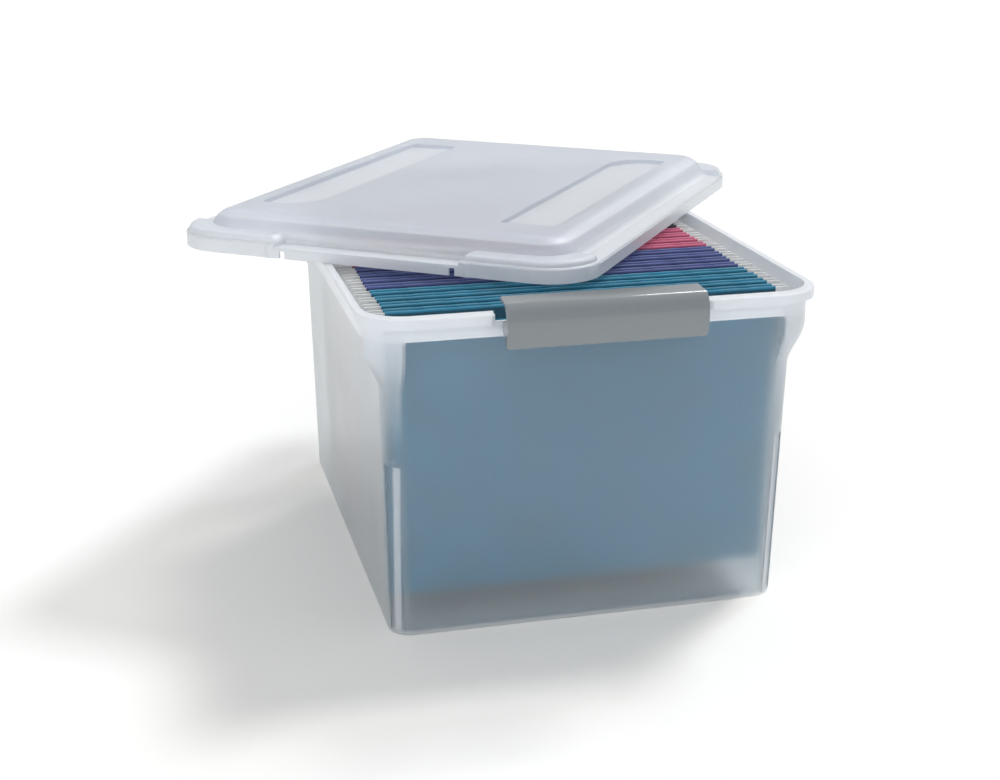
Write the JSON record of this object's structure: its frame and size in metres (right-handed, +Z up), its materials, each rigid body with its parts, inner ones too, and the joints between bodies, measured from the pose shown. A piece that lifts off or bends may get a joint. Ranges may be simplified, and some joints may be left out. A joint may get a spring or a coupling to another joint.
{
  "type": "portable file box",
  "caption": "Lidded portable file box: a flanged translucent tub with a domed lid lying askew, a carrying latch at each end and coloured hanging folders inside.",
  "frame": {"origin": "centre of the tub's flat underside, on the floor", "axes": "+X along the latches to the right, +Y along the long sides away from the front latch, +Z up"},
  "size_m": [0.5278, 0.6336, 0.2848],
  "materials": {
    "frosted_plastic": "frosted, translucent",
    "grey_plastic": "satin",
    "hanger_plastic": "satin",
    "teal_card": "matte",
    "indigo_card": "matte",
    "red_card": "matte",
    "charcoal_card": "matte"
  },
  "bodies": {
    "tub": {"tub": "frosted_plastic"},
    "lid": {"lid": "frosted_plastic"},
    "front_latch": {"front_latch": "grey_plastic"},
    "rear_latch": {"rear_latch": "grey_plastic"},
    "teal_file_1": {"teal_folder_1": "teal_card", "teal_hangers_1": "hanger_plastic"},
    "teal_file_2": {"teal_folder_2": "teal_card", "teal_hangers_2": "hanger_plastic"},
    "teal_file_3": {"teal_folder_3": "teal_card", "teal_hangers_3": "hanger_plastic"},
    "teal_file_4": {"teal_folder_4": "teal_card", "teal_hangers_4": "hanger_plastic"},
    "indigo_file_1": {"indigo_folder_1": "indigo_card", "indigo_hangers_1": "hanger_plastic"},
    "indigo_file_2": {"indigo_folder_2": "indigo_card", "indigo_hangers_2": "hanger_plastic"},
    "indigo_file_3": {"indigo_folder_3": "indigo_card", "indigo_hangers_3": "hanger_plastic"},
    "indigo_file_4": {"indigo_folder_4": "indigo_card", "indigo_hangers_4": "hanger_plastic"},
    "red_file_1": {"red_folder_1": "red_card", "red_hangers_1": "hanger_plastic"},
    "red_file_2": {"red_folder_2": "red_card", "red_hangers_2": "hanger_plastic"},
    "red_file_3": {"red_folder_3": "red_card", "red_hangers_3": "hanger_plastic"},
    "red_file_4": {"red_folder_4": "red_card", "red_hangers_4": "hanger_plastic"},
    "charcoal_file_1": {"charcoal_folder_1": "charcoal_card", "charcoal_hangers_1": "hanger_plastic"},
    "charcoal_file_2": {"charcoal_folder_2": "charcoal_card", "charcoal_hangers_2": "hanger_plastic"},
    "charcoal_file_3": {"charcoal_folder_3": "charcoal_card", "charcoal_hangers_3": "hanger_plastic"},
    "charcoal_file_4": {"charcoal_folder_4": "charcoal_card", "charcoal_hangers_4": "hanger_plastic"}
  },
  "joints": [
    {"name": "lid_lift", "type": "slide", "parent": "tub", "child": "lid", "axis": [0, 0, 1], "range_m": [0, 0.25]},
    {"name": "front_latch_hinge", "type": "hinge", "parent": "tub", "child": "front_latch", "pos_m": [0, -0.227, 0.2414], "axis": [1, 0, 0], "range_deg": [0, 95]},
    {"name": "rear_latch_hinge", "type": "hinge", "parent": "tub", "child": "rear_latch", "pos_m": [0, 0.227, 0.2414], "axis": [-1, 0, 0], "range_deg": [0, 95]},
    {"name": "teal_file_1_slide", "type": "slide", "parent": "tub", "child": "teal_file_1", "axis": [0, 1, 0], "range_m": [0, 0.0045]},
    {"name": "teal_file_2_slide", "type": "slide", "parent": "tub", "child": "teal_file_2", "axis": [0, 1, 0], "range_m": [0, 0.009]},
    {"name": "teal_file_3_slide", "type": "slide", "parent": "tub", "child": "teal_file_3", "axis": [0, 1, 0], "range_m": [0, 0.0135]},
    {"name": "teal_file_4_slide", "type": "slide", "parent": "tub", "child": "teal_file_4", "axis": [0, 1, 0], "range_m": [0, 0.018]},
    {"name": "indigo_file_1_slide", "type": "slide", "parent": "tub", "child": "indigo_file_1", "axis": [0, 1, 0], "range_m": [0, 0.0225]},
    {"name": "indigo_file_2_slide", "type": "slide", "parent": "tub", "child": "indigo_file_2", "axis": [0, 1, 0], "range_m": [0, 0.027]},
    {"name": "indigo_file_3_slide", "type": "slide", "parent": "tub", "child": "indigo_file_3", "axis": [0, 1, 0], "range_m": [0, 0.0315]},
    {"name": "indigo_file_4_slide", "type": "slide", "parent": "tub", "child": "indigo_file_4", "axis": [0, 1, 0], "range_m": [0, 0.036]},
    {"name": "red_file_1_slide", "type": "slide", "parent": "tub", "child": "red_file_1", "axis": [0, 1, 0], "range_m": [0, 0.0405]},
    {"name": "red_file_2_slide", "type": "slide", "parent": "tub", "child": "red_file_2", "axis": [0, 1, 0], "range_m": [0, 0.045]},
    {"name": "red_file_3_slide", "type": "slide", "parent": "tub", "child": "red_file_3", "axis": [0, 1, 0], "range_m": [0, 0.0495]},
    {"name": "red_file_4_slide", "type": "slide", "parent": "tub", "child": "red_file_4", "axis": [0, 1, 0], "range_m": [0, 0.054]},
    {"name": "charcoal_file_1_slide", "type": "slide", "parent": "tub", "child": "charcoal_file_1", "axis": [0, 1, 0], "range_m": [0, 0.0585]},
    {"name": "charcoal_file_2_slide", "type": "slide", "parent": "tub", "child": "charcoal_file_2", "axis": [0, 1, 0], "range_m": [0, 0.063]},
    {"name": "charcoal_file_3_slide", "type": "slide", "parent": "tub", "child": "charcoal_file_3", "axis": [0, 1, 0], "range_m": [0, 0.0675]},
    {"name": "charcoal_file_4_slide", "type": "slide", "parent": "tub", "child": "charcoal_file_4", "axis": [0, 1, 0], "range_m": [0, 0.072]}
  ],
  "couplings": [
    {"joint": "teal_file_1_slide", "follows": "charcoal_file_4_slide", "ratio": 0.0625},
    {"joint": "teal_file_2_slide", "follows": "charcoal_file_4_slide", "ratio": 0.125},
    {"joint": "teal_file_3_slide", "follows": "charcoal_file_4_slide", "ratio": 0.1875},
    {"joint": "teal_file_4_slide", "follows": "charcoal_file_4_slide", "ratio": 0.25},
    {"joint": "indigo_file_1_slide", "follows": "charcoal_file_4_slide", "ratio": 0.3125},
    {"joint": "indigo_file_2_slide", "follows": "charcoal_file_4_slide", "ratio": 0.375},
    {"joint": "indigo_file_3_slide", "follows": "charcoal_file_4_slide", "ratio": 0.4375},
    {"joint": "indigo_file_4_slide", "follows": "charcoal_file_4_slide", "ratio": 0.5},
    {"joint": "red_file_1_slide", "follows": "charcoal_file_4_slide", "ratio": 0.5625},
    {"joint": "red_file_2_slide", "follows": "charcoal_file_4_slide", "ratio": 0.625},
    {"joint": "red_file_3_slide", "follows": "charcoal_file_4_slide", "ratio": 0.6875},
    {"joint": "red_file_4_slide", "follows": "charcoal_file_4_slide", "ratio": 0.75},
    {"joint": "charcoal_file_1_slide", "follows": "charcoal_file_4_slide", "ratio": 0.8125},
    {"joint": "charcoal_file_2_slide", "follows": "charcoal_file_4_slide", "ratio": 0.875},
    {"joint": "charcoal_file_3_slide", "follows": "charcoal_file_4_slide", "ratio": 0.9375}
  ]
}
